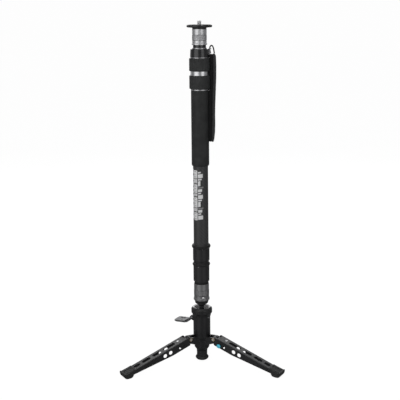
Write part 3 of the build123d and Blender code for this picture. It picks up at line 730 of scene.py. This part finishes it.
def capsule(u, t, length, width, turn, k=8):
    pts = []
    for s in (1, -1):
        for i in range(k + 1):
            a = -pi / 2 + pi * i / k + (0 if s > 0 else pi)
            px = s * (length - width) / 2 + width / 2 * cos(a)
            py = width / 2 * sin(a)
            pts.append((u + px * cos(turn) - py * sin(turn), t + px * sin(turn) + py * cos(turn)))
    return pts


rubber_and_shadow_dark = rubber("insert_rubber_and_painted_shadow", (0.010, 0.010, 0.010), 0.7)
on_tread("pedal_window_insert", capsule(56.0, -5.4, 15.6, 7.4, radians(12)), 1.2, 3.8, rubber_and_shadow_dark)
# A thin dark sheet on the tread: a painted shadow of the gap under the arm where it meets the tread.
on_tread("pedal_arm_painted_shadow", capsule(52.0, 7.6, 8.4, 2.2, radians(-30)), 3.3, 3.72, rubber_and_shadow_dark)
dots = []
for i in range(4):
    for k in range(5):
        u, t = 59.6 + i * 3.1 + (1.5 if k % 2 else 0), -1.2 + k * 2.9 - 0.4
        if u < 70.4:
            dots.append(turned_at(tread_mm(u, t, 3.5), tread_mm(u, t, 9) - tread_mm(u, t, 3.5), [(0.9, -0.2), (0.85, 0.25), (0.5, 0.42), (0, 0.46)], 14))
v, f = join(*dots)
piece("pedal_tread_dots", v, f, MATS["pedal_tread_silver"], "pedal")

# ---- print on the upper tube: a plain pattern of bars and ticks ------------------------------------------------
def print_ink(name, base, flecks):
    m = Mat(name, base, 0.0, 0.5, 0.35)
    worn = m.remap(m.noise(900, 5, 0.7), 0.60, 0.72, 0, flecks)
    soft = m.remap(m.noise(120, 4, 0.6), 0.35, 0.7, 0, 1)
    m.color(m.mix(worn, m.mix(soft, base, tuple(c * 0.90 for c in base)), (0.03, 0.03, 0.031)))
    m.rough(m.remap(m.noise(500, 3), 0.3, 0.7, 0.42, 0.6))
    return m.m


ink = print_ink("print_white", (0.97, 0.97, 0.97), 0.25)
ink_grey = print_ink("print_grey", (0.30, 0.30, 0.30), 0.5)


def wrapped(name, shapes, r, mat, body):
    """Flat outlines of (azimuth in degrees, height) points laid on a tube."""
    bm = bmesh.new()
    for pts in shapes:
        bm.faces.new([bm.verts.new((a, z, 0)) for a, z in pts])
    lo = min(p[0] for s in shapes for p in s)
    hi = max(p[0] for s in shapes for p in s)
    a = lo + 3.7
    while a < hi:
        bmesh.ops.bisect_plane(bm, geom=bm.verts[:] + bm.edges[:] + bm.faces[:], plane_co=(a, 0, 0), plane_no=(1, 0, 0))
        a += 3.7
    for q in bm.verts:
        ang = radians(q.co.x)
        q.co = mm(r * cos(ang), r * sin(ang), q.co.y)
    for q in bm.faces:
        q.smooth = True
    me = bpy.data.meshes.new(name)
    bm.to_mesh(me)
    bm.free()
    me.materials.append(mat)
    o = bpy.data.objects.new(name, me)
    scene.collection.objects.link(o)
    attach(o, body)
    return o


def bar(a0, a1, z0, z1, skew=0.0):
    return [(a0, z0), (a1, z0 + skew), (a1, z1 + skew), (a0, z1)]


def rounded(a0, a1, z0, z1, c=1.6):
    d = c * 3.2
    return [(a0 + d, z0), (a1 - d, z0), (a1 - d * 0.3, z0 + c * 0.3), (a1, z0 + c), (a1, z1 - c), (a1 - d * 0.3, z1 - c * 0.3), (a1 - d, z1), (a0 + d, z1),
            (a0 + d * 0.3, z1 - c * 0.3), (a0, z1 - c), (a0, z0 + c), (a0 + d * 0.3, z0 + c * 0.3)]


rng = random.Random(11)
white, grey = [], []
# a column of slanted blocks at the left, one of long bars in the middle and one of ticks at the right
z = 365.0
while z < 482:
    h = rng.uniform(6.0, 14.0)
    white.append(bar(189, 206, z, min(z + h, 486), 3.2))
    z += h + rng.uniform(1.4, 2.6)
z = 364.0
for k, h in enumerate((19.5, 9.0, 25.0, 7.5, 21.0, 11.0, 19.5)):
    if k % 2 == 0:
        white.append(rounded(210, 244, z, z + h))
        for q in range(int(h / 6.2)):
            grey.append(bar(217, 236 - 5 * (q % 2), z + 3.4 + q * 6.2, z + 4.4 + q * 6.2))
    else:
        for q in range(3):
            white.append(bar(210 + q * 11.6, 219.6 + q * 11.6, z + 0.4, z + h - 0.4, 1.1))
    z += h + 1.5
z = 366.0
k = 0
while z < 482:
    h = (9.5, 3.4, 6.6, 3.4, 12.0, 3.4)[k % 6]
    a1 = (286, 272, 280, 290, 268, 278)[k % 6]
    (grey if k % 6 == 3 else white).append(bar(249, a1, z, min(z + h, 485), 1.4))
    z += h + 2.0
    k += 1
wrapped("print_light", white, 18.04, ink, "upper_section")
wrapped("print_grey", grey, 18.08, ink_grey, "upper_section")

# two cheeks of the strap anchor, one on each side of the cord
boxes = []
for y0, y1 in ((-3.9, -1.9), (1.9, 3.9)):
    prof = [(21.6, 755.7), (24.0, 755.7), (24.4, 756.2), (24.4, 765.4), (23.8, 766.2), (21.6, 766.2)]
    bv = [mm(x, y0, z) for x, z in prof] + [mm(x, y1, z) for x, z in prof]
    boxes.append((bv, [tuple(range(6)), tuple(range(11, 5, -1))] + [(i, i + 6, (i + 1) % 6 + 6, (i + 1) % 6) for i in range(6)]))
v, f = join(*boxes)
piece("strap_anchor_cheeks", v, f, MATS["anchor_silver"], "upper_section")

# ---- wrist strap -----------------------------------------------------------------------------------------------
# a cord loop from the band up through the eye and back, along the route of its solid
ROUTE = [(0.0256, 0, 0.75265), (0.0240, 0, 0.7581), (0.0235, 0, 0.7631), (0.0242, 0, 0.7684), (0.0283, 0, 0.7714), (0.0317, 0, 0.7665), (0.0330, 0, 0.7597),
         (0.0342, 0, 0.75255)]
cu = bpy.data.curves.new("strap_cord_loop", "CURVE")
cu.dimensions = "3D"
cu.bevel_depth = 0.00155
cu.bevel_resolution = 5
cu.use_fill_caps = True
sp = cu.splines.new("NURBS")
sp.points.add(len(ROUTE) - 1)
for q, c in zip(sp.points, ROUTE):
    q.co = (*c, 1)
sp.order_u = 3
sp.use_endpoint_u = True
sp.resolution_u = 16
cu.materials.append(MATS["strap_cord_black"])
loop = bpy.data.objects.new("strap_cord_loop", cu)
scene.collection.objects.link(loop)
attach(loop, "wrist_strap")
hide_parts("strap_cord")

OUTER = [(551.6, 31.6), (552.6, 32.3), (560.0, 33.4), (575.0, 35.1), (594.0, 35.7), (615.0, 35.5), (640.0, 36.0), (665.0, 37.0), (700.0, 38.4), (728.0, 38.7),
         (748.0, 38.1), (753.6, 37.5), (756.4, 36.2)]
INNER = [(551.6, 21.4), (553.2, 21.2), (664.0, 21.2), (672.0, 21.9), (675.2, 22.2), (676.8, 24.75), (705.8, 24.75), (706.6, 22.4), (717.2, 22.4), (718.0, 24.75),
         (745.4, 24.75), (746.2, 22.4), (756.4, 22.2)]


def along(table, z):
    if z <= table[0][0]:
        return table[0][1]
    for (z0, x0), (z1, x1) in zip(table, table[1:]):
        if z <= z1:
            return x0 + (x1 - x0) * (z - z0) / (z1 - z0)
    return table[-1][1]


def inner_face(y, z):
    """The band's inner face is hollowed to the handle under it."""
    r = along(INNER, z)
    return max(sqrt(max(r * r - y * y, 0)), along([(551.6, 20.2), (560, 19.45), (675.2, 19.45), (676.8, 23.3), (705.8, 23.3), (706.6, 20.7), (717.2, 20.7), (718.0, 23.3),
                                                         (745.4, 23.3), (746.2, 21.2), (756, 21.2)], z))


def strap_layer(name, x_of, half, z0, z1, mat, rows=84, wob=0.22, seed=0.0):
    """A padded layer: a closed tube of rounded sections, x_of(side, y, z) giving its two faces."""
    ring, verts, faces = 20, [], []
    for i in range(rows + 1):
        t = i / rows
        z = z0 + (z1 - z0) * t
        end = min(1.0, min(t, 1 - t) * rows / 1.6)
        hw = half * (0.93 + 0.07 * sqrt(end))
        for k in range(ring):
            a = 2 * pi * (k + 0.5) / ring
            cy = abs(cos(a)) ** 0.28 * (1 if cos(a) > 0 else -1)
            cx = abs(sin(a)) ** 0.45 * (1 if sin(a) > 0 else -1)
            y = hw * cy
            lo, hi = x_of(-1, y, z), x_of(1, y, z)
            mid, hd = (lo + hi) / 2, (hi - lo) / 2
            pin = 0.62 + 0.38 * sqrt(end)
            x = mid + hd * cx * pin
            if cx > 0:
                x += wob * noise.noise(Vector((y * 0.16, z * 0.045, seed)))
                x -= wob
            verts.append(mm(x, y + 0.12 * noise.noise(Vector((seed, y, z * 0.08))), z))
    for i in range(rows):
        for k in range(ring):
            q = (k + 1) % ring
            faces.append((i * ring + k, i * ring + q, (i + 1) * ring + q, (i + 1) * ring + k))
    faces += [tuple(range(ring - 1, -1, -1)), tuple(rows * ring + k for k in range(ring))]
    o = piece(name, verts, faces, mat, "wrist_strap", ("wrist_strap",) if seed == 0 else (), angle=60)
    return o


def split_x(z):
    """Where the inner layer ends and the outer one starts."""
    return along([(551.6, 27.2), (600, 28.0), (665, 29.2), (700, 31.2), (756.4, 30.6)], z)


# The two strap layers are one fabric in two tones: the outer layer is painted lighter as lit, the inner layer much
# darker as painted shade.
lit_outer_fab = fabric("strap_outer_lit", (0.042, 0.042, 0.043), 1500, 0.35)
shaded_inner_fab = fabric("strap_inner_shaded", (0.0075, 0.0075, 0.008), 1100, 0.1)
strap_layer("strap_outer_layer", lambda s, y, z: along(OUTER, z) if s > 0 else split_x(z) - 0.3, 8.9, 551.9, 756.3, lit_outer_fab)
strap_layer("strap_inner_layer", lambda s, y, z: split_x(z) + 1.1 if s > 0 else inner_face(y, z), 8.3, 552.6, 755.4, shaded_inner_fab, rows=190, seed=5.0)


def ribbon(name, path, half_w, half_t, side, mat):
    """A narrow strip of binding along a path of (x, y, z) points, its flat side towards side."""
    verts, faces = [], []
    sd = Vector(side)
    for i, p in enumerate(path):
        d = (Vector(path[min(i + 1, len(path) - 1)]) - Vector(path[max(i - 1, 0)])).normalized()
        w = d.cross(sd).normalized()
        for a, b in ((-1, -1), (1, -1), (1, 1), (-1, 1)):
            q = Vector(p) + w * half_w * a + sd * half_t * b
            verts.append(mm(*q))
    for i in range(len(path) - 1):
        for k in range(4):
            q = (k + 1) % 4
            faces.append((i * 4 + k, i * 4 + q, i * 4 + 4 + q, i * 4 + 4 + k))
    n = len(path) - 1
    faces += [(3, 2, 1, 0), (n * 4, n * 4 + 1, n * 4 + 2, n * 4 + 3)]
    return piece(name, verts, faces, mat, "wrist_strap", angle=50)


binding = fabric("strap_binding", (0.020, 0.020, 0.021), 2400, 0.15)
zs = [553.5 + (755.0 - 553.5) * i / 90 for i in range(91)]
for side, tag in ((-1, "near"), (1, "far")):
    ribbon("strap_binding_" + tag, [(split_x(z) + 0.35, side * 8.5, z) for z in zs], 0.85, 0.45, (0, side, 0), binding)
thread_mat = fabric("strap_thread", (0.034, 0.034, 0.035), 5000, 0.1)
stitches = []
for y in (-6.4, 6.4):
    z = 558.0
    while z < 752:
        x0, x1 = along(OUTER, z) - 0.30, along(OUTER, z + 2.1) - 0.30
        stitches.append(join(*[([mm(x0 - 0.25, y - 0.26, z), mm(x0 + 0.16, y - 0.26, z), mm(x0 + 0.16, y + 0.26, z), mm(x0 - 0.25, y + 0.26, z),
                                 mm(x1 - 0.25, y - 0.26, z + 2.1), mm(x1 + 0.16, y - 0.26, z + 2.1), mm(x1 + 0.16, y + 0.26, z + 2.1), mm(x1 - 0.25, y + 0.26, z + 2.1)],
                                [(0, 3, 2, 1), (4, 5, 6, 7), (0, 1, 5, 4), (1, 2, 6, 5), (2, 3, 7, 6), (3, 0, 4, 7)])]))
        z += 3.1
v, f = join(*stitches)
piece("strap_stitching", v, f, thread_mat, "wrist_strap")


# ---- floor and surroundings ------------------------------------------------------------------------------------
def stage_mesh(name, verts, faces, mat):
    me = bpy.data.meshes.new(name)
    me.from_pydata(verts, [], faces)
    me.materials.append(mat)
    o = bpy.data.objects.new(name, me)
    scene.collection.objects.link(o)
    o.visible_glossy = False
    o.visible_diffuse = False
    return o


fm = Mat("floor_paper", (0.10, 0.10, 0.10), 0.0, 0.95, 0.0)
fm.color(fm.mix(fm.remap(fm.noise(3, 4), 0.35, 0.65, 0, 1), (0.095, 0.095, 0.095), (0.105, 0.105, 0.105)))
fm.b.inputs["Emission Color"].default_value = (1, 1, 1, 1)
fm.b.inputs["Emission Strength"].default_value = 0.965
stage_mesh("floor", [(14 * cos(a * pi / 48), 14 * sin(a * pi / 48), 0) for a in range(96)], [tuple(range(96))], fm.m)

sky = bpy.data.materials.new("surround_paper")
sky.use_nodes = True
st = sky.node_tree
st.nodes.clear()
so = st.nodes.new("ShaderNodeOutputMaterial")
se = st.nodes.new("ShaderNodeEmission")
se.inputs["Color"].default_value = (1, 1, 1, 1)
se.inputs["Strength"].default_value = 0.985
st.links.new(se.outputs[0], so.inputs[0])
rings = [(14.05 * cos(radians(e)), 14.05 * sin(radians(e)) - 0.4) for e in (0, 10, 20, 35, 50, 65, 80, 89)]
dv = [(r * cos(a * pi / 32), r * sin(a * pi / 32), z) for r, z in rings for a in range(64)]
df = [(q * 64 + a, q * 64 + (a + 1) % 64, (q + 1) * 64 + (a + 1) % 64, (q + 1) * 64 + a) for q in range(len(rings) - 1) for a in range(64)]
dome = stage_mesh("surround", dv, df, sky)
dome.visible_shadow = False
